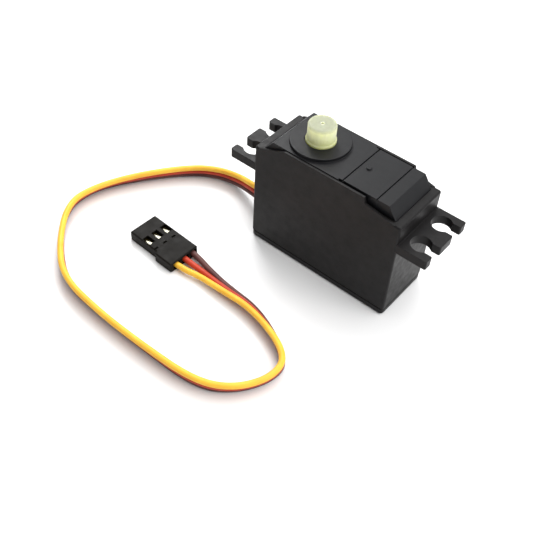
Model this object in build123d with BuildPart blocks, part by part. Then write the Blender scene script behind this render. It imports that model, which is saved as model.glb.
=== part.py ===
from build123d import *
from math import acos, atan2, cos, degrees, pi, radians, sin, tan
import os

# A mini-class hobby servo, in millimetres. The origin is on the floor under the middle of the case,
# +X runs towards the motor end, -X is the output and cable end, and +Z is the output shaft's direction.

# ---- driving dimensions of the case ----
case_length = 35.5
case_width = 14.5
corner_radius = 0.5
cover_corner_radius = 0.8
cover_edge = 0.6
cover_height = 1.7
joint_chamfer = 0.2
ledge_height = 25.4
deck_height = 28.15
boss_height = 28.85
boss_radius = 6.3
side_wall = 1.2
end_wall = 1.8
lip_wall = 0.55
lip_height = 27.95
deck_thickness = 1.2
plate_bottom = 18.4
plate_top = 19.6
play = 0.05
floor_gap = 0.08

# ---- mounting ears ----
ear_reach = 24.3
ear_bottom = 19.0
ear_top = 21.05
ear_width = 14.4
slot_x = 20.9
slot_y = 3.7
slot_radius = 2.2
slot_neck = 3.0
ear_corner = 0.35

# ---- case screws ----
screw_x = 14.3
screw_y = 4.4
post_radius = 1.6
screw_radius = 0.8
screw_head_radius = 1.4
screw_head_height = 1.05

# ---- gear train: output axis, idler pin axis and motor axis all lie on y = 0 ----
output_x = -6.8
pin_x = 0.4
motor_x = 7.3
fine_module = 0.3
coarse_module = 0.4
tooth_play = 0.09
shaft_radius = 1.1
pin_radius = 0.6
spline_radius = 2.92
spline_teeth = 25
spline_bottom = 29.4
spline_top = 32.85
spline_edge = 0.45
collar_radius = 3.15
collar_taper = 0.25
collar_taper_angle = 40
journal_radius = 3.4
journal_top = 27.9
horn_hole_radius = 0.4

# ---- motor ----
can_radius = 5.8
can_bottom = 6.0
motor_shaft_radius = 0.6

# ---- cable: three wires side by side in a flat ribbon ----
wire_diameter = 1.33
wire_pitch = 1.38
exit_x = -20.6
exit_z = 4.8

# ---- three-pin plug ----
plug_centre = (-29.6, -23.3)
plug_yaw = -2.4
plug_length = 13.7
pin_pitch = 2.54
terminal_end = 4.6

half_length = case_length / 2
half_width = case_width / 2
room_half_length = half_length - end_wall
room_half_width = half_width - side_wall
screw_places = GridLocations(2 * screw_x, 2 * screw_y, 2, 2)

os.makedirs("parts", exist_ok=True)


def save(part, label):
    part.label = label
    export_step(part, f"parts/{label}.step")


def involute(angle):
    return tan(angle) - angle


def gear_points(teeth, module, first_tooth):
    """Outline of a spur gear with one tooth centred on the angle first_tooth, in degrees."""
    pressure = radians(20)
    pitch_radius = teeth * module / 2
    base_radius = pitch_radius * cos(pressure)
    root_radius = pitch_radius - 1.2 * module
    tip_radius = pitch_radius + 0.85 * module
    pitch_half = (pi * module / 2 - tooth_play) / (2 * pitch_radius)
    flank = []
    for radius in (root_radius, (root_radius + pitch_radius) / 2, pitch_radius, tip_radius):
        lean = involute(acos(base_radius / max(radius, base_radius)))
        flank.append((radius, pitch_half + involute(pressure) - lean))
    points = []
    for tooth in range(teeth):
        centre = radians(first_tooth) + 2 * pi * tooth / teeth
        rising = [(radius, centre - half) for radius, half in flank]
        falling = [(radius, centre + half) for radius, half in reversed(flank)]
        points += [(radius * cos(angle), radius * sin(angle)) for radius, angle in rising + falling]
    return points


def gear_disc(x, bottom, top, teeth, module, first_tooth):
    """Adds one toothed disc to the part being built."""
    with BuildSketch(Plane((x, 0, bottom))) as outline:
        with BuildLine():
            Polyline(*gear_points(teeth, module, first_tooth), close=True)
        make_face()
    extrude(outline.sketch, amount=top - bottom)


def disc(x, y, bottom, top, radius, mode=Mode.ADD):
    """Adds or cuts one upright cylinder."""
    with BuildSketch(Plane((x, y, bottom))) as outline:
        Circle(radius)
    extrude(outline.sketch, amount=top - bottom, mode=mode)


def block(x_range, y_range, z_range, mode=Mode.ADD):
    """Adds or cuts one box given by its limits along each axis."""
    middle = ((x_range[0] + x_range[1]) / 2, (y_range[0] + y_range[1]) / 2, z_range[0])
    with BuildSketch(Plane(middle)) as outline:
        Rectangle(x_range[1] - x_range[0], y_range[1] - y_range[0])
    extrude(outline.sketch, amount=z_range[1] - z_range[0], mode=mode)


def side_profile(points, y_from, y_to, mode=Mode.ADD):
    """Extrudes an outline drawn in the XZ plane from one y to another."""
    with BuildSketch(Plane((0, y_to, 0), x_dir=(1, 0, 0), z_dir=(0, -1, 0))) as outline:
        with BuildLine():
            Polyline(*points, close=True)
        make_face()
    extrude(outline.sketch, amount=y_to - y_from, mode=mode)


# ---- bottom cover: a tray with counterbored screw holes and a rim that locates inside the case ----
rim_top = 3.0
rim_wall = 0.9
rim_half_length = room_half_length - floor_gap
rim_half_width = room_half_width - floor_gap
cover_floor = 1.0
board_bottom = 2.4

with BuildPart() as bottom_cover:
    with BuildSketch():
        RectangleRounded(case_length, case_width, cover_corner_radius)
    extrude(amount=cover_height)
    fillet(bottom_cover.faces().sort_by(Axis.Z)[0].edges(), cover_edge)
    chamfer(bottom_cover.faces().sort_by(Axis.Z)[-1].edges(), joint_chamfer)
    with BuildSketch(Plane.XY.offset(cover_height)):
        Rectangle(2 * rim_half_length, 2 * rim_half_width)
        Rectangle(2 * (rim_half_length - rim_wall), 2 * (rim_half_width - rim_wall), mode=Mode.SUBTRACT)
        with screw_places:
            Circle(post_radius + 0.15, mode=Mode.SUBTRACT)
        with Locations((-rim_half_length, 0)):
            Rectangle(3, 5.6, mode=Mode.SUBTRACT)
    extrude(amount=rim_top - cover_height)
    with BuildSketch(Plane.XY.offset(cover_floor)):
        Rectangle(2 * (rim_half_length - rim_wall), 2 * (rim_half_width - rim_wall))
        with screw_places:
            Circle(post_radius + 0.4, mode=Mode.SUBTRACT)
    extrude(amount=cover_height - cover_floor, mode=Mode.SUBTRACT)
    for peg_x in (-10, 10):
        for peg_y in (-3.6, 3.6):
            disc(peg_x, peg_y, cover_floor, board_bottom, 0.7)
    with BuildSketch():
        with screw_places:
            Circle(screw_radius + 0.1)
    extrude(amount=cover_height, mode=Mode.SUBTRACT)
    with BuildSketch():
        with screw_places:
            Circle(screw_head_radius + 0.15)
    extrude(amount=screw_head_height + 0.15, mode=Mode.SUBTRACT)
save(bottom_cover.part, "bottom_cover")

# ---- middle case: shell with the gear plate, screw posts, mounting ears and raised side lips ----
post_top = 21.9
cable_slot_half_width = 2.0
cable_slot_top = 7.9
boss_hole_radius = 1.7
near_lip_end = 9.0
far_lip_end = 11.2
ledge_edge = 0.4


def lip_outline(level_end):
    """Side view of a raised lip whose top stays level as far as level_end."""
    return [
        (-16.6, ledge_height - 1),
        (-16.6, ledge_height),
        (-10.2, lip_height),
        (level_end, lip_height),
        (level_end + 0.4, 26.5),
        (16.2, ledge_height),
        (16.2, ledge_height - 1),
    ]


def ear(side):
    """Adds one mounting ear with its two open keyhole slots; side is 1 or -1 along X."""
    ear_start = half_length - end_wall / 2
    with BuildSketch(Plane.XY.offset(ear_bottom)) as ear_sketch:
        with Locations((side * (ear_start + ear_reach) / 2, 0)):
            Rectangle(ear_reach - ear_start, ear_width)
        with Locations((side * slot_x, slot_y), (side * slot_x, -slot_y)):
            Circle(slot_radius, mode=Mode.SUBTRACT)
        neck_length = ear_reach - slot_x + 1
        neck_x = side * (slot_x + neck_length / 2)
        with Locations((neck_x, slot_y), (neck_x, -slot_y)):
            Rectangle(neck_length, slot_neck, mode=Mode.SUBTRACT)
        tips = ear_sketch.vertices().group_by(Axis.X)[-1 if side > 0 else 0]
        fillet(tips, ear_corner)
    extrude(ear_sketch.sketch, amount=ear_top - ear_bottom)


with BuildPart() as middle_case:
    with BuildSketch(Plane.XY.offset(cover_height)):
        RectangleRounded(case_length, case_width, corner_radius)
    extrude(amount=ledge_height - cover_height)
    fillet(middle_case.faces().sort_by(Axis.Z)[-1].edges().filter_by(Axis.Y), ledge_edge)
    chamfer(middle_case.faces().sort_by(Axis.Z)[0].edges(), joint_chamfer)
    with BuildSketch(Plane.XY.offset(cover_height)):
        Rectangle(2 * room_half_length, 2 * room_half_width)
        with screw_places:
            Circle(post_radius, mode=Mode.SUBTRACT)
    extrude(amount=plate_bottom - cover_height, mode=Mode.SUBTRACT)
    with BuildSketch(Plane.XY.offset(plate_top)):
        Rectangle(2 * room_half_length, 2 * room_half_width)
        with screw_places:
            Circle(post_radius, mode=Mode.SUBTRACT)
    extrude(amount=post_top - plate_top, mode=Mode.SUBTRACT)
    with BuildSketch(Plane.XY.offset(post_top)):
        Rectangle(2 * room_half_length, 2 * room_half_width)
    extrude(amount=ledge_height - post_top, mode=Mode.SUBTRACT)
    side_profile(lip_outline(far_lip_end), half_width - lip_wall, half_width)
    side_profile(lip_outline(near_lip_end), -half_width, lip_wall - half_width)
    ear(1)
    ear(-1)
    with BuildSketch(Plane.XY.offset(cover_height)):
        with screw_places:
            Circle(screw_radius + 0.1)
    extrude(amount=post_top - cover_height, mode=Mode.SUBTRACT)
    disc(output_x, 0, plate_bottom, plate_top, shaft_radius + 0.1, Mode.SUBTRACT)
    disc(motor_x, 0, plate_bottom, plate_top, boss_hole_radius, Mode.SUBTRACT)
    disc(pin_x, 0, plate_top - 1, plate_top, pin_radius, Mode.SUBTRACT)
    block(
        (-half_length - 1, -room_half_length + 1),
        (-cable_slot_half_width, cable_slot_half_width),
        (cover_height - 1, cable_slot_top),
        Mode.SUBTRACT,
    )
save(middle_case.part, "middle_case")

# ---- top case: the sloped deck over the gears, with the output boss and posts for the screws ----
deck_half_width = half_width - lip_wall - play
narrow_half_width = 6.2
narrow_start = 2.4
slope_left = (-15.9, -13.65)
slope_right = (15.9, 14.0)
deck_underside = deck_height - deck_thickness
skirt = 1.15
bush_bottom = 26.3
bush_top = 28.0
bush_radius = 4.3
panel_seams = (3.27, 11.2)
seam_width = 0.3
seam_depth = 0.4
gate_mark_x = 5.0
gate_mark_radius = 0.6
gate_mark_height = 0.3

with BuildPart() as top_case:
    side_profile(
        [
            (slope_left[0], ledge_height),
            (slope_left[1], deck_height),
            (slope_right[1], deck_height),
            (slope_right[0], ledge_height),
        ],
        -deck_half_width,
        deck_half_width,
    )
    for side in (-1, 1):
        y_limits = sorted((side * narrow_half_width, side * (deck_half_width + 1)))
        block((narrow_start, slope_right[0] + 1), y_limits, (ledge_height, deck_height), Mode.SUBTRACT)
    side_profile(
        [
            (slope_left[0] + 1.4, ledge_height),
            (slope_left[1] + 0.4, deck_underside),
            (slope_right[1] - 0.4, deck_underside),
            (slope_right[0] - 1.4, ledge_height),
        ],
        skirt - deck_half_width,
        deck_half_width - skirt,
        Mode.SUBTRACT,
    )
    disc(output_x, 0, ledge_height, deck_underside, 5.9, Mode.SUBTRACT)
    disc(output_x, 0, bush_bottom, boss_height, boss_radius)
    disc(output_x, 0, bush_bottom, bush_top, bush_radius, Mode.SUBTRACT)
    disc(output_x, 0, bush_bottom, boss_height, collar_radius + 0.1, Mode.SUBTRACT)
    disc(pin_x, 0, bush_bottom, deck_underside, 1.5)
    disc(pin_x, 0, bush_bottom, deck_underside + 0.4, pin_radius, Mode.SUBTRACT)
    with BuildSketch(Plane.XY.offset(post_top + 0.05)):
        with screw_places:
            Circle(post_radius - 0.1)
    extrude(amount=ledge_height + 1 - post_top)
    for foot, crest in (slope_left, slope_right):
        outside = foot * 1.1
        side_profile(
            [(foot, ledge_height), (crest, deck_height), (outside, deck_height), (outside, ledge_height)],
            -half_width,
            half_width,
            Mode.SUBTRACT,
        )
    with BuildSketch(Plane.XY.offset(post_top)):
        with screw_places:
            Circle(screw_radius + 0.02)
    extrude(amount=26.2 - post_top, mode=Mode.SUBTRACT)
    for seam in panel_seams:
        block(
            (seam - seam_width / 2, seam + seam_width / 2),
            (-deck_half_width, deck_half_width),
            (deck_height - seam_depth, deck_height),
            Mode.SUBTRACT,
        )
    disc(gate_mark_x, 0, deck_height, deck_height + gate_mark_height, gate_mark_radius)
    fillet(top_case.faces().filter_by(Plane.XY).sort_by(Axis.Z)[-2].edges(), 0.15)
save(top_case.part, "top_case")

# ---- four long screws from below ----
screw_end = 25.9

with BuildPart() as case_screws:
    with BuildSketch(Plane.XY.offset(0.12)):
        with screw_places:
            Circle(screw_head_radius)
    extrude(amount=screw_head_height)
    with BuildSketch(Plane.XY.offset(0.12 + screw_head_height)):
        with screw_places:
            Circle(screw_radius)
    extrude(amount=screw_end - 0.12 - screw_head_height)
    with BuildSketch(Plane.XY.offset(0.12)):
        with screw_places:
            Rectangle(1.7, 0.35)
            Rectangle(0.35, 1.7)
    extrude(amount=0.55, mode=Mode.SUBTRACT)
save(case_screws.part, "case_screws")

# ---- output gear: gear, journal and toothed spline in one moulding, bored for the sensor shaft ----
output_gear_bottom = 24.6
output_gear_top = 26.0
spline_groove = 0.12

with BuildPart() as output_gear:
    gear_disc(output_x, output_gear_bottom, output_gear_top, 26, coarse_module, 180 / 26)
    disc(output_x, 0, output_gear_top, journal_top, journal_radius)
    disc(output_x, 0, journal_top, spline_bottom - collar_taper, collar_radius)
    with BuildSketch(Plane((output_x, 0, spline_bottom - collar_taper))):
        Circle(collar_radius)
    extrude(amount=collar_taper, taper=collar_taper_angle)
    disc(output_x, 0, spline_bottom, spline_top, spline_radius)
    fillet(output_gear.edges().filter_by(GeomType.CIRCLE).sort_by(Axis.Z)[-1], spline_edge)
    with BuildSketch(Plane((output_x, 0, spline_bottom))):
        with PolarLocations(spline_radius, spline_teeth):
            Rectangle(spline_groove, spline_groove, rotation=45)
    extrude(amount=spline_top - spline_bottom, mode=Mode.SUBTRACT)
    disc(output_x, 0, spline_top - 4, spline_top, horn_hole_radius, Mode.SUBTRACT)
    disc(output_x, 0, output_gear_bottom, output_gear_bottom + 1.2, shaft_radius, Mode.SUBTRACT)
save(output_gear.part, "output_gear")

# ---- plain bush for the output journal ----
with BuildPart() as output_bushing:
    disc(output_x, 0, bush_bottom, bush_top, bush_radius)
    disc(output_x, 0, bush_bottom, bush_top, journal_radius + 0.04, Mode.SUBTRACT)
save(output_bushing.part, "output_bushing")

# ---- compound reduction gears ----
with BuildPart() as first_gear:
    disc(pin_x, 0, plate_top + 0.1, 20.0, 1.3)
    gear_disc(pin_x, 20.0, 21.3, 36, fine_module, 180 / 36)
    gear_disc(pin_x, 21.3, 22.9, 12, fine_module, 180)
    disc(pin_x, 0, plate_top, 22.9, pin_radius + 0.04, Mode.SUBTRACT)
save(first_gear.part, "first_gear")

with BuildPart() as second_gear:
    gear_disc(output_x, 21.6, 22.8, 36, fine_module, 180 / 36)
    gear_disc(output_x, 22.8, 24.3, 14, fine_module, 0)
    disc(output_x, 0, 21.6, 24.3, shaft_radius + 0.05, Mode.SUBTRACT)
save(second_gear.part, "second_gear")

with BuildPart() as third_gear:
    gear_disc(pin_x, 23.1, 24.2, 34, fine_module, 180 + 180 / 34)
    gear_disc(pin_x, 24.2, 26.1, 10, coarse_module, 180)
    disc(pin_x, 0, 23.1, 26.1, pin_radius + 0.04, Mode.SUBTRACT)
save(third_gear.part, "third_gear")

with BuildPart() as gear_pin:
    disc(pin_x, 0, plate_top - 1, deck_underside + 0.4, pin_radius)
save(gear_pin.part, "gear_pin")

with BuildPart() as gear_spacer:
    disc(output_x, 0, plate_top, 21.5, 1.38)
    disc(output_x, 0, plate_top, 21.5, shaft_radius + 0.05, Mode.SUBTRACT)
save(gear_spacer.part, "gear_spacer")

# ---- motor ----
can_top = plate_bottom
can_wall = 0.5
bell_bottom = 4.8
armature_bottom = 8.6
armature_top = 15.4
armature_radius = 3.9

with BuildPart() as motor_pinion:
    gear_disc(motor_x, 19.9, 21.5, 10, fine_module, 180)
    disc(motor_x, 0, 19.9, 21.5, motor_shaft_radius, Mode.SUBTRACT)
save(motor_pinion.part, "motor_pinion")

with BuildPart() as motor_shaft:
    disc(motor_x, 0, bell_bottom + 0.4, 21.9, motor_shaft_radius)
save(motor_shaft.part, "motor_shaft")

with BuildPart() as motor_can:
    disc(motor_x, 0, can_bottom, can_top, can_radius)
    fillet(motor_can.edges().filter_by(GeomType.CIRCLE).sort_by(Axis.Z)[-1], 0.5)
    disc(motor_x, 0, can_bottom, can_top - 0.6, can_radius - can_wall, Mode.SUBTRACT)
    disc(motor_x, 0, can_top - 0.6, can_top + 0.8, boss_hole_radius - 0.1)
    disc(motor_x, 0, can_bottom, can_top + 0.8, motor_shaft_radius + 0.05, Mode.SUBTRACT)
save(motor_can.part, "motor_can")

with BuildPart() as motor_magnets:
    disc(motor_x, 0, 7.6, 16.4, can_radius - can_wall - 0.02)
    disc(motor_x, 0, 7.6, 16.4, armature_radius + 0.35, Mode.SUBTRACT)
    block((motor_x - 2.4, motor_x + 2.4), (-7, 7), (7.6, 16.4), Mode.SUBTRACT)
save(motor_magnets.part, "motor_magnets")

with BuildPart() as motor_armature:
    disc(motor_x, 0, armature_bottom, armature_top, armature_radius)
    disc(motor_x, 0, armature_bottom, armature_top, armature_radius - 0.8, Mode.SUBTRACT)
    for arm in range(3):
        with BuildSketch(Plane((motor_x, 0, armature_bottom)).rotated((0, 0, 60 + 120 * arm))):
            with Locations((armature_radius, 0)):
                Rectangle(2.4, 1.1)
        extrude(amount=armature_top - armature_bottom, mode=Mode.SUBTRACT)
    disc(motor_x, 0, armature_bottom, armature_top, 1.3)
    for arm in range(3):
        with BuildSketch(Plane((motor_x, 0, armature_bottom)).rotated((0, 0, 120 * arm))):
            with Locations((1.7, 0)):
                Rectangle(3.4, 1.1)
        extrude(amount=armature_top - armature_bottom)
    disc(motor_x, 0, armature_bottom, armature_top, motor_shaft_radius, Mode.SUBTRACT)
save(motor_armature.part, "motor_armature")

with BuildPart() as motor_windings:
    for arm in range(3):
        arm_plane = Plane((motor_x, 0, armature_bottom - 0.6)).rotated((0, 0, 120 * arm))
        with BuildSketch(arm_plane):
            with Locations((2.15, 0)):
                Rectangle(1.2, 2.4)
        extrude(amount=armature_top - armature_bottom + 1.2)
        with BuildSketch(Plane((motor_x, 0, armature_bottom)).rotated((0, 0, 120 * arm))):
            with Locations((2.15, 0)):
                Rectangle(1.3, 1.1)
        extrude(amount=armature_top - armature_bottom, mode=Mode.SUBTRACT)
save(motor_windings.part, "motor_windings")

with BuildPart() as motor_commutator:
    disc(motor_x, 0, 6.95, 7.9, 1.3)
    for cut in range(3):
        with BuildSketch(Plane((motor_x, 0, 6.95)).rotated((0, 0, 120 * cut + 60))):
            with Locations((1.3, 0)):
                Rectangle(0.5, 0.2)
        extrude(amount=0.95, mode=Mode.SUBTRACT)
    disc(motor_x, 0, 6.95, 7.9, motor_shaft_radius, Mode.SUBTRACT)
save(motor_commutator.part, "motor_commutator")

with BuildPart() as motor_end_bell:
    disc(motor_x, 0, bell_bottom, can_bottom, can_radius)
    disc(motor_x, 0, can_bottom, can_bottom + 0.7, can_radius - can_wall - 0.03)
    disc(motor_x, 0, bell_bottom + 0.4, can_bottom + 0.7, motor_shaft_radius + 0.05, Mode.SUBTRACT)
save(motor_end_bell.part, "motor_end_bell")

board_top = 3.2

with BuildPart() as motor_brushes:
    for side in (-1, 1):
        y_limits = sorted((side * 1.38, side * 1.58))
        block((motor_x - 1, motor_x + 1), y_limits, (can_bottom + 0.7, 7.8))
save(motor_brushes.part, "motor_brushes")

with BuildPart() as motor_terminals:
    for side in (-1, 1):
        tab_x = motor_x + side * 3.8
        block((tab_x - 0.2, tab_x + 0.2), (-0.8, 0.8), (board_top, bell_bottom))
save(motor_terminals.part, "motor_terminals")

# ---- position sensor under the output axis ----
sensor_bottom = 13.6
sensor_radius = 4.8
sensor_wall = 0.6

with BuildPart() as potentiometer_body:
    disc(output_x, 0, sensor_bottom, plate_bottom, sensor_radius)
    disc(output_x, 0, sensor_bottom + 0.8, plate_bottom - 0.8, sensor_radius - sensor_wall, Mode.SUBTRACT)
    disc(output_x, 0, sensor_bottom + 0.8, plate_bottom, shaft_radius + 0.05, Mode.SUBTRACT)
save(potentiometer_body.part, "potentiometer_body")

with BuildPart() as potentiometer_track:
    disc(output_x, 0, sensor_bottom + 0.8, sensor_bottom + 1.1, 3.9)
    disc(output_x, 0, sensor_bottom + 0.8, sensor_bottom + 1.1, 2.6, Mode.SUBTRACT)
save(potentiometer_track.part, "potentiometer_track")

with BuildPart() as potentiometer_shaft:
    disc(output_x, 0, sensor_bottom + 1.2, output_gear_bottom + 1.2, shaft_radius)
save(potentiometer_shaft.part, "potentiometer_shaft")

with BuildPart() as potentiometer_wiper:
    disc(output_x, 0, sensor_bottom + 2.0, sensor_bottom + 2.6, 2.2)
    block((output_x, output_x + 3.6), (-0.6, 0.6), (sensor_bottom + 2.0, sensor_bottom + 2.6))
    disc(output_x, 0, sensor_bottom + 2.0, sensor_bottom + 2.6, shaft_radius, Mode.SUBTRACT)
save(potentiometer_wiper.part, "potentiometer_wiper")

with BuildPart() as potentiometer_leads:
    for lead_y in (-2.2, 0, 2.2):
        disc(output_x + 1.5, lead_y, board_top, sensor_bottom, 0.28)
save(potentiometer_leads.part, "potentiometer_leads")

# ---- control board ----
with BuildPart() as circuit_board:
    block((-12.2, 12.2), (-4.7, 4.7), (board_bottom, board_top))
save(circuit_board.part, "circuit_board")

with BuildPart() as control_chip:
    block((-3.9, 1.1), (-1.2, 2.8), (board_top, board_top + 1.2))
save(control_chip.part, "control_chip")

with BuildPart() as driver_transistors:
    for chip_y in (-3.6, 3.6):
        block((-8.6, -5.8), (chip_y - 0.7, chip_y + 0.7), (board_top, board_top + 1.0))
save(driver_transistors.part, "driver_transistors")

with BuildPart() as smoothing_capacitor:
    disc(-2.2, -3.0, board_top, board_top + 4.6, 1.45)
save(smoothing_capacitor.part, "smoothing_capacitor")

# ---- rubber strain relief in the end wall, tapering to the ribbon ----
relief_root = (3.4, 5.0)
relief_tip = (2.3, 4.5)
lead_heights = (4.3, 5.5, 6.7)

with BuildPart() as strain_relief:
    with BuildSketch(Plane((-half_length, 0, exit_z), x_dir=(0, -1, 0), z_dir=(-1, 0, 0))):
        RectangleRounded(*relief_root, 0.9)
    with BuildSketch(Plane((exit_x, 0, exit_z), x_dir=(0, -1, 0), z_dir=(-1, 0, 0))):
        RectangleRounded(*relief_tip, 0.9)
    loft()
    neck_half = cable_slot_half_width - play
    block((-half_length, -room_half_length), (-neck_half, neck_half), (cover_height, cable_slot_top - play))
    block((-room_half_length, 0.8 - room_half_length), (-2.6, 2.6), (rim_top + 0.1, cable_slot_top + 0.6))
save(strain_relief.part, "strain_relief")

# ---- leads inside the case, from the strain relief down to the board ----
with BuildPart() as inner_leads:
    for height, landing_x in zip(lead_heights, (-12.0 + 0.9, -9.9, -8.7)):
        with BuildLine():
            FilletPolyline(
                (0.8 - room_half_length, 0, height),
                (landing_x, 0, height),
                (landing_x, 0, board_top),
                radius=min(0.9, (height - board_top) * 0.6),
            )
        with BuildSketch(Plane((0.8 - room_half_length, 0, height), z_dir=(1, 0, 0))):
            Circle(0.45)
        sweep()
save(inner_leads.part, "inner_leads")

# ---- ribbon cable ----
# Each row is a point of the ribbon's middle wire, how far the ribbon leans over from standing on edge,
# in degrees, and the distance between neighbouring wires there.
ribbon_route = [
    (exit_x, 0.0, exit_z, 0, wire_pitch),
    (-24.2, 0.2, exit_z, 2, wire_pitch),
    (-29.8, 2.4, 3.1, 6, wire_pitch),
    (-36.2, 1.9, 2.05, 12, wire_pitch),
    (-41.6, -2.2, 2.0, 18, wire_pitch),
    (-48.6, -12.4, 1.95, 26, wire_pitch),
    (-54.0, -22.0, 1.9, 31, wire_pitch),
    (-53.8, -31.0, 2.05, 5, wire_pitch),
    (-44.8, -39.9, 2.05, -8, wire_pitch),
    (-36.4, -45.0, 2.0, -19, wire_pitch),
    (-24.4, -45.9, 1.95, -24, wire_pitch),
    (-12.2, -46.3, 1.95, -22, wire_pitch),
    (1.4, -45.9, 2.01, -14, wire_pitch),
    (8.0, -42.2, 1.95, -25, wire_pitch),
    (11.0, -35.8, 1.95, -23, wire_pitch),
    (8.6, -28.0, 2.05, 5, wire_pitch),
    (-0.8, -24.0, 1.7, 43, wire_pitch),
    (-11.2, -24.3, 1.35, 61, wire_pitch),
    (-17.2, -23.8, 1.2, 85, 1.5),
    (-20.6, -23.8, 1.3, 90, 2.3),
]


def on_plug(x, y):
    """A point given along and across the plug, turned with it and put in its place."""
    turn = radians(plug_yaw)
    return (plug_centre[0] + x * cos(turn) - y * sin(turn), plug_centre[1] + x * sin(turn) + y * cos(turn))


def wire_points(place):
    """Route of one wire; place is 1 for the top wire, 0 for the middle and -1 for the bottom."""
    points = []
    for index, (x, y, z, lean, pitch) in enumerate(ribbon_route):
        before = ribbon_route[max(index - 1, 0)]
        after = ribbon_route[min(index + 1, len(ribbon_route) - 1)]
        heading = atan2(after[1] - before[1], after[0] - before[0])
        if index == 0:
            heading = pi
        shift = place * pitch * sin(radians(lean))
        rise = place * pitch * cos(radians(lean))
        points.append((x - shift * sin(heading), y + shift * cos(heading), z + rise))
    end_x, end_y = on_plug(terminal_end, -place * pin_pitch)
    points.append((end_x, end_y, 1.3))
    return points


def corner_radii(points):
    """The largest arc that each corner's two runs allow."""
    places = [Vector(*point) for point in points]
    radii = []
    for before, here, after in zip(places, places[1:], places[2:]):
        first_run = here - before
        second_run = after - here
        half_turn = radians(first_run.get_angle(second_run)) / 2
        radii.append(0.45 * min(first_run.length, second_run.length) / tan(half_turn))
    return radii


def build_wire(place, label):
    points = wire_points(place)
    radii = corner_radii(points)
    with BuildPart() as wire:
        with BuildLine() as path:
            FilletPolyline(*points, radius=radii)
        with BuildSketch(path.line ^ 0):
            Circle(wire_diameter / 2)
        sweep()
    length = path.wires()[0].length
    expected = length * pi * wire_diameter**2 / 4
    print(f"{label}: length {length:.1f}, tightest arc {min(radii):.2f}, "
          f"volume {wire.part.volume:.2f} of {expected:.2f}")
    save(wire.part, label)


build_wire(1, "wire_yellow")
build_wire(0, "wire_red")
build_wire(-1, "wire_brown")

# ---- plug housing, lying flat, with its mouth at the far end from the wires ----
plug_half = 7.0
plug_mouth = plug_half - plug_length
plug_height = 2.6
plug_side = 3.65
step_start = 1.9
step_side = 4.3
plug_corner = 0.3
plug_edge = 0.25
channel = 1.9
channel_bottom = 0.35
nose_wall = 0.9
pin_hole = 1.0
floor_of_openings = 1.5
window = (-3.0, -0.6)
slot_range = (0.9, 1.4)
slot_offset = -0.55
plug_plane = Plane((plug_centre[0], plug_centre[1], 0)).rotated((0, 0, plug_yaw))


def plug_box(x_range, y_range, z_range, mode=Mode.ADD):
    """Adds or cuts a box given by its limits along, across and above the plug."""
    with BuildSketch(plug_plane.offset(z_range[0])) as outline:
        with Locations(((x_range[0] + x_range[1]) / 2, (y_range[0] + y_range[1]) / 2)):
            Rectangle(x_range[1] - x_range[0], y_range[1] - y_range[0])
    extrude(outline.sketch, amount=z_range[1] - z_range[0], mode=mode)


def plug_row(x_range, width, z_range, mode=Mode.ADD, offset=0):
    """Adds or cuts three boxes, one for each pin, moved across the plug by offset."""
    for pin in (-1, 0, 1):
        middle = pin * pin_pitch + offset
        plug_box(x_range, (middle - width / 2, middle + width / 2), z_range, mode)


with BuildPart() as plug_housing:
    plug_box((plug_mouth, plug_half), (-plug_side, plug_side), (0, plug_height))
    plug_box((step_start, plug_half), (-step_side, -plug_side), (0, plug_height))
    fillet(plug_housing.edges().filter_by(Axis.Z), plug_corner)
    chamfer(plug_housing.faces().sort_by(Axis.Z)[-1].edges(), plug_edge)
    chamfer(plug_housing.faces().sort_by(Axis.Z)[0].edges(), plug_edge)
    inner_end = plug_mouth + nose_wall
    plug_row((inner_end, plug_half), channel, (channel_bottom, channel_bottom + channel), Mode.SUBTRACT)
    plug_row((plug_mouth, inner_end), pin_hole, (0.8, 0.8 + pin_hole), Mode.SUBTRACT)
    plug_row(window, 1.6, (floor_of_openings, plug_height), Mode.SUBTRACT)
    plug_row(slot_range, 1.0, (floor_of_openings, plug_height), Mode.SUBTRACT, slot_offset)
save(plug_housing.part, "plug_housing")

# ---- crimped contacts: a box, a raised pointed lance under each window, and a barrel on the wire ----
lance_root = -0.9
lance_tip = -2.75
lance_width = 1.25

with BuildPart() as plug_terminals:
    plug_row((plug_mouth + 1.0, 0.4), 1.6, (0.5, 1.4))
    plug_row((plug_mouth + 1.0, -1.0), 0.8, (0.75, 1.15), Mode.SUBTRACT)
    plug_row((0.4, terminal_end), 1.0, (0.75, 1.85))
    with BuildSketch(plug_plane.offset(1.3)) as lances:
        for pin in (-1, 0, 1):
            middle = pin * pin_pitch - 0.15
            with BuildLine():
                Polyline(
                    (lance_root, middle - lance_width / 2),
                    (lance_tip, middle),
                    (lance_root, middle + lance_width / 2),
                    close=True,
                )
            make_face()
    extrude(lances.sketch, amount=0.65)
save(plug_terminals.part, "plug_terminals")
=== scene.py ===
import math

import bmesh
import bpy
from mathutils import Matrix, Vector


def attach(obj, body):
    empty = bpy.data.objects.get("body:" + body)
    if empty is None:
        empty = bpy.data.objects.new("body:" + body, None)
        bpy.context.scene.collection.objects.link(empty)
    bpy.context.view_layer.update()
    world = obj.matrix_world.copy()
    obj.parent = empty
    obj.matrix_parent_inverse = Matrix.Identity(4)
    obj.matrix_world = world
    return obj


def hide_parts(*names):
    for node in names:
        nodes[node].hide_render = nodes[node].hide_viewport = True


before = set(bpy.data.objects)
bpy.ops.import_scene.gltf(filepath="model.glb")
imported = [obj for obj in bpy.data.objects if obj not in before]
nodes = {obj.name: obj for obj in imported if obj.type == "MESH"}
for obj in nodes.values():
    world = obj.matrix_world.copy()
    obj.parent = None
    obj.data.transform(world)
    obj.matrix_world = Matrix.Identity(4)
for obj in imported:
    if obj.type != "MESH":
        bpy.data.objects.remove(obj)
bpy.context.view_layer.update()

MM = 0.001
scene = bpy.context.scene

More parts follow.
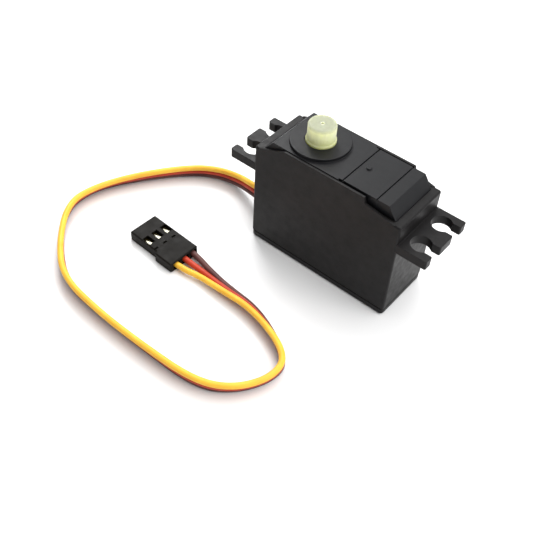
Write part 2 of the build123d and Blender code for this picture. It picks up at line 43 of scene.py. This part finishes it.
# ---- camera ----
view_right = Vector((0.76512, 0.64269, 0.03937))
view_up = Vector((-0.49724, 0.55090, 0.67027))
view_back = Vector((0.40909, -0.53241, 0.74107))
camera_data = bpy.data.cameras.new("camera")
camera_data.lens = 54.6
camera_data.sensor_width = 36
camera_data.clip_start = 0.01
camera_data.clip_end = 10
camera = bpy.data.objects.new("camera", camera_data)
scene.collection.objects.link(camera)
camera.matrix_world = Matrix((
    (view_right.x, view_up.x, view_back.x, 63.16 * MM),
    (view_right.y, view_up.y, view_back.y, -106.36 * MM),
    (view_right.z, view_up.z, view_back.z, 130.45 * MM),
    (0, 0, 0, 1),
))
scene.camera = camera

# ---- ribbon cable: three wires side by side, from the strain relief to the plug ----
wire_diameter = 1.33
wire_pitch = 1.38
exit_x = -20.6
exit_z = 4.8
plug_centre = (-29.6, -23.3)
plug_yaw = math.radians(-2.4)
pin_pitch = 2.54
terminal_end = 4.6
crimp_height = 1.3

# Each row is a point of the middle wire, how far the ribbon leans over from standing on edge, in degrees,
# and the distance between neighbouring wires there. All in millimetres.
ribbon_route = [
    (exit_x, 0.0, exit_z, 0, wire_pitch),
    (-24.2, 0.2, exit_z, 2, wire_pitch),
    (-29.8, 2.4, 2.4, 6, wire_pitch),
    (-35.7, 1.5, 2.05, 16, wire_pitch),
    (-41.3, -2.4, 2.0, 22, wire_pitch),
    (-48.7, -12.3, 1.95, 30, wire_pitch),
    (-53.6, -22.0, 1.85, 42, wire_pitch),
    (-53.3, -30.5, 2.0, 24, wire_pitch),
    (-44.7, -39.8, 2.05, 6, wire_pitch),
    (-36.4, -45.2, 2.0, -14, wire_pitch),
    (-24.1, -46.2, 1.95, -24, wire_pitch),
    (-12.2, -46.3, 1.95, -22, wire_pitch),
    (1.4, -45.9, 2.01, -14, wire_pitch),
    (7.8, -42.0, 1.95, -25, wire_pitch),
    (11.5, -35.4, 1.95, -23, wire_pitch),
    (10.6, -29.7, 2.05, 5, wire_pitch),
    (-1.4, -24.5, 1.7, 43, wire_pitch),
    (-11.2, -24.3, 1.35, 61, wire_pitch),
    (-17.2, -23.8, 1.2, 85, 1.5),
    (-20.6, -23.8, 1.3, 90, 2.3),
]


def on_plug(x, y):
    """A place on the plug, given along and across it from its middle, in millimetres."""
    return (plug_centre[0] + x * math.cos(plug_yaw) - y * math.sin(plug_yaw),
            plug_centre[1] + x * math.sin(plug_yaw) + y * math.cos(plug_yaw))


def wire_points(place):
    """Route of one wire in millimetres; place is 1 for the top wire, 0 for the middle, -1 for the bottom."""
    points = []
    for index, (x, y, z, lean, pitch) in enumerate(ribbon_route):
        before = ribbon_route[max(index - 1, 0)]
        after = ribbon_route[min(index + 1, len(ribbon_route) - 1)]
        heading = math.pi if index == 0 else math.atan2(after[1] - before[1], after[0] - before[0])
        shift = place * pitch * math.sin(math.radians(lean))
        rise = place * pitch * math.cos(math.radians(lean))
        points.append((x - shift * math.sin(heading), y + shift * math.cos(heading), z + rise))
    end_x, end_y = on_plug(terminal_end, -place * pin_pitch)
    points.append((end_x, end_y, crimp_height))
    return points


def make_wire(name, place):
    """One wire as a round curve. Its knots' radius is a millimetre, so its bevel depth is in millimetres."""
    curve = bpy.data.curves.new(name, "CURVE")
    curve.dimensions = "3D"
    curve.bevel_depth = wire_diameter / 2
    curve.bevel_resolution = 6
    curve.resolution_u = 16
    curve.use_fill_caps = True
    spline = curve.splines.new("NURBS")
    points = wire_points(place)
    spline.points.add(len(points) - 1)
    for knot, (x, y, z) in zip(spline.points, points):
        knot.co = (x * MM, y * MM, z * MM, 1)
        knot.radius = MM
    spline.order_u = 3
    spline.use_endpoint_u = True
    wire = bpy.data.objects.new(name, curve)
    scene.collection.objects.link(wire)
    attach(wire, "case")
    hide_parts("wire_" + name.split("_")[0])


make_wire("yellow_lead", 1)
make_wire("red_lead", 0)
make_wire("brown_lead", -1)


# ---- materials ----
class Shade:
    """One procedural material, built node by node around a Principled shader."""

    def __init__(self, name, **values):
        self.material = bpy.data.materials.new(name)
        self.material.use_nodes = True
        self.tree = self.material.node_tree
        self.shader = self.tree.nodes["Principled BSDF"]
        for socket, value in values.items():
            self.shader.inputs[socket.replace("_", " ")].default_value = value
        self.place = self.node("ShaderNodeTexCoord").outputs["Object"]

    def node(self, kind):
        return self.tree.nodes.new(kind)

    def link(self, out, into):
        self.tree.links.new(out, into)

    def noise(self, size, detail=3, stretch=(1, 1, 1), rough=0.55):
        """Noise whose blobs are about size millimetres across."""
        mapping = self.node("ShaderNodeMapping")
        for axis in range(3):
            mapping.inputs["Scale"].default_value[axis] = stretch[axis] / (size * MM)
        self.link(self.place, mapping.inputs["Vector"])
        made = self.node("ShaderNodeTexNoise")
        made.inputs["Scale"].default_value = 1
        made.inputs["Detail"].default_value = detail
        made.inputs["Roughness"].default_value = rough
        self.link(mapping.outputs["Vector"], made.inputs["Vector"])
        return made.outputs["Fac"]

    def ranged(self, value, low, high, start=0.3, stop=0.7):
        made = self.node("ShaderNodeMapRange")
        made.inputs["From Min"].default_value = start
        made.inputs["From Max"].default_value = stop
        made.inputs["To Min"].default_value = low
        made.inputs["To Max"].default_value = high
        self.link(value, made.inputs["Value"])
        return made.outputs["Result"]

    def mixed(self, share, first, second):
        made = self.node("ShaderNodeMix")
        made.data_type = "RGBA"
        for index, colour in ((6, first), (7, second)):
            if isinstance(colour, tuple):
                made.inputs[index].default_value = (*colour, 1)
            else:
                self.link(colour, made.inputs[index])
        self.link(share, made.inputs[0])
        return made.outputs[2]

    def colour(self, out):
        self.link(out, self.shader.inputs["Base Color"])

    def roughness(self, out):
        self.link(out, self.shader.inputs["Roughness"])

    def relief(self, height, depth, strength=1.0, edge=None):
        """Bump of depth millimetres, over edges rounded to the radius edge, in millimetres."""
        bump = self.node("ShaderNodeBump")
        bump.inputs["Strength"].default_value = strength
        bump.inputs["Distance"].default_value = depth * MM
        self.link(height, bump.inputs["Height"])
        if edge:
            self.link(self.rounded(edge), bump.inputs["Normal"])
        self.link(bump.outputs["Normal"], self.shader.inputs["Normal"])

    def rounded(self, radius):
        bevel = self.node("ShaderNodeBevel")
        bevel.samples = 6
        bevel.inputs["Radius"].default_value = radius * MM
        return bevel.outputs["Normal"]

    def edges(self, radius):
        """Near 1 along sharp edges and 0 on open faces."""
        dot = self.node("ShaderNodeVectorMath")
        dot.operation = "DOT_PRODUCT"
        self.link(self.rounded(radius), dot.inputs[0])
        self.link(self.node("ShaderNodeNewGeometry").outputs["Normal"], dot.inputs[1])
        return self.ranged(dot.outputs["Value"], 1, 0, 0.80, 0.99)

    def height(self, low, high):
        """0 at the height low and 1 at high, in millimetres."""
        split = self.node("ShaderNodeSeparateXYZ")
        self.link(self.place, split.inputs["Vector"])
        return self.ranged(split.outputs["Z"], 0, 1, low * MM, high * MM)

    def far_from(self, axis, near, far):
        """0 within the radius near of an upright axis and 1 beyond far, in millimetres."""
        flat = self.node("ShaderNodeMapping")
        flat.inputs["Scale"].default_value[2] = 0
        self.link(self.place, flat.inputs["Vector"])
        reach = self.node("ShaderNodeVectorMath")
        reach.operation = "DISTANCE"
        self.link(flat.outputs["Vector"], reach.inputs[0])
        reach.inputs[1].default_value = (axis[0] * MM, axis[1] * MM, 0)
        return self.ranged(reach.outputs["Value"], 0, 1, near * MM, far * MM)

    def scatter(self, weight, scale):
        """Light spreading inside the material, about equally far in every colour."""
        self.shader.inputs["Subsurface Weight"].default_value = weight
        self.shader.inputs["Subsurface Scale"].default_value = scale * MM
        self.shader.inputs["Subsurface Radius"].default_value = (1.0, 0.95, 0.7)

    def times(self, first, second):
        made = self.node("ShaderNodeMath")
        made.operation = "MULTIPLY"
        self.link(first, made.inputs[0])
        if isinstance(second, float):
            made.inputs[1].default_value = second
        else:
            self.link(second, made.inputs[1])
        return made.outputs["Value"]


def moulded(name, dark, light, wear_and_highlight_colour, rough=(0.48, 0.62), level=0.35, grain=0.16, edge=0.18):
    """Spark-textured moulded plastic whose sharp edges are painted lighter, partly as wear and partly as a
    painted edge highlight.
    """
    shade = Shade(name, Specular_IOR_Level=level)
    cloud = shade.noise(6, 2)
    fine = shade.noise(grain, 2)
    tone = shade.mixed(shade.ranged(cloud, 0, 1), dark, light)
    tone = shade.mixed(shade.times(shade.ranged(fine, 0, 1), 0.35), tone, light)
    # Sharp edges are mixed towards a lighter colour, partly as wear and partly as a painted edge highlight.
    edge_wear_and_highlight = shade.times(shade.edges(edge * 1.4), shade.ranged(shade.noise(0.9, 3), 0.15, 0.7))
    tone = shade.mixed(edge_wear_and_highlight, tone, wear_and_highlight_colour)
    shade.colour(tone)
    shade.roughness(shade.ranged(shade.noise(1.6, 3), *rough))
    shade.relief(fine, 0.008, 0.35, edge)
    return shade.material


def metal(name, dark, light, rough=(0.22, 0.4), stretch=(1, 1, 8), size=0.5, edge=0.05):
    """Turned or drawn metal with fine scratches."""
    shade = Shade(name, Metallic=1.0)
    streak = shade.noise(size, 4, stretch)
    shade.colour(shade.mixed(shade.ranged(shade.noise(2.5, 3), 0, 1), dark, light))
    shade.roughness(shade.ranged(streak, *rough))
    shade.relief(streak, 0.006, 0.5, edge)
    return shade.material


def insulation(name, shade_colour, lit_colour, rough=(0.42, 0.56)):
    """Soft vinyl on a thin wire."""
    shade = Shade(name, Specular_IOR_Level=0.3)
    shade.scatter(0.12, 0.5)
    cloud = shade.noise(5, 3)
    shade.colour(shade.mixed(shade.ranged(cloud, 0, 1), shade_colour, lit_colour))
    shade.roughness(shade.ranged(shade.noise(0.7, 3), *rough))
    shade.relief(shade.noise(0.5, 3), 0.01, 0.4)
    return shade.material


def give(material, *names):
    """Puts the material on every slot of the named pieces."""
    for name in names:
        part = nodes[name] if name in nodes else bpy.data.objects[name]
        if not part.data.materials:
            part.data.materials.append(material)
        for index in range(len(part.data.materials)):
            part.data.materials[index] = material


case_black = moulded("case_black", (0.0046, 0.0040, 0.0042), (0.0070, 0.0064, 0.0067),
                     (0.022, 0.022, 0.023), rough=(0.40, 0.54), level=0.18)
deck_black = moulded("deck_black", (0.0052, 0.0054, 0.0064), (0.0080, 0.0082, 0.0094),
                     (0.026, 0.026, 0.028), rough=(0.36, 0.50), level=0.19)
plug_black = moulded("plug_black", (0.0070, 0.0060, 0.0050), (0.0100, 0.0090, 0.0078),
                     (0.032, 0.030, 0.027), rough=(0.44, 0.58), level=0.08, grain=0.1, edge=0.14)
rubber = moulded("rubber", (0.010, 0.010, 0.010), (0.016, 0.016, 0.016), (0.02, 0.02, 0.02),
                 rough=(0.6, 0.75), level=0.25, edge=0.2)
give(case_black, "middle_case", "bottom_cover")
give(deck_black, "top_case")
give(plug_black, "plug_housing")
give(rubber, "strain_relief")

output_axis = (-6.8, 0)
nylon = Shade("nylon", Specular_IOR_Level=0.2)
nylon.scatter(1.0, 2.8)
# Painted shade: the nylon is coloured darker and more olive towards the foot of the spline, where shade
# falls near the boss.
nylon_tone_and_painted_light = nylon.mixed(nylon.height(28.8, 31.0), (0.54, 0.56, 0.21), (0.78, 0.80, 0.52))
# Painted shade: the top face of the spline is coloured darker than its sides.
nylon_tone_and_painted_light = nylon.mixed(nylon.height(32.2, 32.8), nylon_tone_and_painted_light, (0.30, 0.315, 0.23))
nylon_cloud = nylon.times(nylon.ranged(nylon.noise(0.8, 3), 0, 1), 0.15)
nylon_tone_and_painted_light = nylon.mixed(nylon_cloud, nylon_tone_and_painted_light, (0.60, 0.62, 0.38))
# Painted light: within 0.4 mm of the output axis, in the horn-screw hole, the nylon is coloured pale so the
# hole's shade hardly shows.
nylon_tone_and_painted_light = nylon.mixed(nylon.far_from(output_axis, 0.40, 0.50), (0.60, 0.62, 0.48), nylon_tone_and_painted_light)
nylon.colour(nylon_tone_and_painted_light)
nylon.roughness(nylon.ranged(nylon.noise(0.6, 3), 0.45, 0.6))
nylon.relief(nylon.noise(0.25, 3), 0.006, 0.4, 0.16)
gear_nylon = Shade("gear_nylon", Specular_IOR_Level=0.45, Subsurface_Weight=0.35, Subsurface_Scale=0.001)
gear_cloud = gear_nylon.ranged(gear_nylon.noise(1.5, 3), 0, 1)
gear_nylon.colour(gear_nylon.mixed(gear_cloud, (0.58, 0.58, 0.48), (0.74, 0.74, 0.64)))
gear_nylon.roughness(gear_nylon.ranged(gear_nylon.noise(0.8, 3), 0.35, 0.5))
gear_nylon.relief(gear_nylon.noise(0.3, 3), 0.008, 0.5, 0.05)
give(nylon.material, "output_gear")
give(gear_nylon.material, "first_gear", "second_gear", "third_gear")

give(metal("zinc_steel", (0.46, 0.45, 0.40), (0.62, 0.60, 0.52)), "case_screws")
give(metal("ground_steel", (0.50, 0.50, 0.51), (0.66, 0.66, 0.67), (0.15, 0.3)),
     "gear_pin", "gear_spacer", "motor_shaft", "potentiometer_shaft")
give(metal("motor_steel", (0.38, 0.38, 0.39), (0.55, 0.55, 0.56), (0.28, 0.42)), "motor_can")
give(metal("laminated_steel", (0.24, 0.24, 0.25), (0.38, 0.38, 0.39), (0.35, 0.5), (1, 1, 30)),
     "motor_armature")
give(metal("brass", (0.58, 0.42, 0.15), (0.76, 0.58, 0.24), (0.2, 0.36)),
     "output_bushing", "motor_pinion", "potentiometer_wiper")
give(metal("copper", (0.55, 0.22, 0.10), (0.80, 0.38, 0.20), (0.22, 0.38), (1, 1, 6), 0.25),
     "motor_windings", "motor_commutator", "motor_brushes")
give(metal("tin", (0.62, 0.61, 0.58), (0.80, 0.79, 0.75), (0.18, 0.34), (1, 6, 1)),
     "motor_terminals", "potentiometer_leads")
contact = Shade("contact_metal", Metallic=1.0)
contact_streaks = contact.noise(0.4, 4, (1, 5, 1))
contact_cloud = contact.ranged(contact.noise(0.8, 3), 0, 1)
contact_tone = contact.mixed(contact_cloud, (0.30, 0.29, 0.23), (0.42, 0.41, 0.35))
contact.colour(contact.mixed(contact.height(1.45, 1.7), (0.16, 0.12, 0.045), contact_tone))
contact.roughness(contact.ranged(contact_streaks, 0.42, 0.58))
contact.relief(contact_streaks, 0.006, 0.5, 0.05)
give(contact.material, "plug_terminals")
give(moulded("ferrite", (0.028, 0.026, 0.025), (0.05, 0.048, 0.046), (0.08, 0.08, 0.08), (0.5, 0.7),
             edge=0.1), "motor_magnets")
give(moulded("bell_plastic", (0.70, 0.69, 0.64), (0.80, 0.79, 0.75), (0.84, 0.84, 0.8), edge=0.08),
     "motor_end_bell")
give(moulded("sensor_plastic", (0.05, 0.05, 0.055), (0.08, 0.08, 0.085), (0.12, 0.12, 0.12), edge=0.1),
     "potentiometer_body")
give(moulded("carbon_track", (0.012, 0.012, 0.012), (0.03, 0.03, 0.03), (0.04, 0.04, 0.04), (0.3, 0.45),
             edge=0.03), "potentiometer_track")
give(moulded("board_green", (0.010, 0.085, 0.035), (0.020, 0.13, 0.055), (0.10, 0.16, 0.10),
             (0.25, 0.4), 0.5, grain=0.4, edge=0.06), "circuit_board")
give(moulded("chip_black", (0.014, 0.014, 0.014), (0.026, 0.026, 0.026), (0.05, 0.05, 0.05), edge=0.06),
     "control_chip", "driver_transistors")
give(moulded("capacitor_sleeve", (0.02, 0.05, 0.22), (0.03, 0.07, 0.30), (0.1, 0.14, 0.4), (0.25, 0.4), 0.5,
             edge=0.1), "smoothing_capacitor")
give(insulation("lead_insulation", (0.35, 0.03, 0.02), (0.5, 0.05, 0.03)), "inner_leads")

give(insulation("yellow_insulation", (0.78, 0.42, 0.035), (0.88, 0.52, 0.05)), "yellow_lead")
give(insulation("red_insulation", (0.42, 0.036, 0.012), (0.52, 0.052, 0.02)), "red_lead")
give(insulation("brown_insulation", (0.085, 0.030, 0.028), (0.13, 0.048, 0.042)), "brown_lead")

# ---- floor and light ----
floor_half = 3
floor_mesh = bpy.data.meshes.new("floor")
shaper = bmesh.new()
bmesh.ops.create_grid(shaper, x_segments=1, y_segments=1, size=floor_half)
shaper.to_mesh(floor_mesh)
shaper.free()
floor = bpy.data.objects.new("floor", floor_mesh)
scene.collection.objects.link(floor)
floor_shade = Shade("floor_white", Specular_IOR_Level=0.2, Roughness=0.6)
floor_cloud = floor_shade.ranged(floor_shade.noise(40, 2), 0, 1)
floor_shade.colour(floor_shade.mixed(floor_cloud, (0.86, 0.86, 0.86), (0.87, 0.87, 0.87)))
floor_mesh.materials.append(floor_shade.material)


def soft_light(name, place, aim, size, power):
    """A white rectangular light of size metres and power watts, turned towards aim."""
    data = bpy.data.lights.new(name, "AREA")
    data.shape = "RECTANGLE"
    data.size = size[0]
    data.size_y = size[1]
    data.energy = power
    lamp = bpy.data.objects.new(name, data)
    scene.collection.objects.link(lamp)
    lamp.location = place
    lamp.rotation_mode = "QUATERNION"
    lamp.rotation_quaternion = (Vector(aim) - Vector(place)).to_track_quat("-Z", "Y")


soft_light("overhead_light", (0.14, 0.14, 0.62), (0.0, 0.0, 0.0), (0.8, 0.8), 5.2)
soft_light("window_light", (-0.153, 0.095, 0.175), (-0.015, 0.0, 0.025), (0.09, 0.09), 0.34)
soft_light("back_light", (-0.14, 0.19, 0.29), (0.0, 0.0, 0.025), (0.26, 0.26), 0.32)
soft_light("side_light", (0.42, 0.04, 0.20), (0.0, 0.0, 0.012), (0.42, 0.34), 1.1)
world = bpy.data.worlds.new("studio")
scene.world = world
world.use_nodes = True
world.node_tree.nodes["Background"].inputs["Color"].default_value = (1, 1, 1, 1)
world.node_tree.nodes["Background"].inputs["Strength"].default_value = 0.43
scene.view_settings.view_transform = "Standard"

bpy.context.view_layer.update()
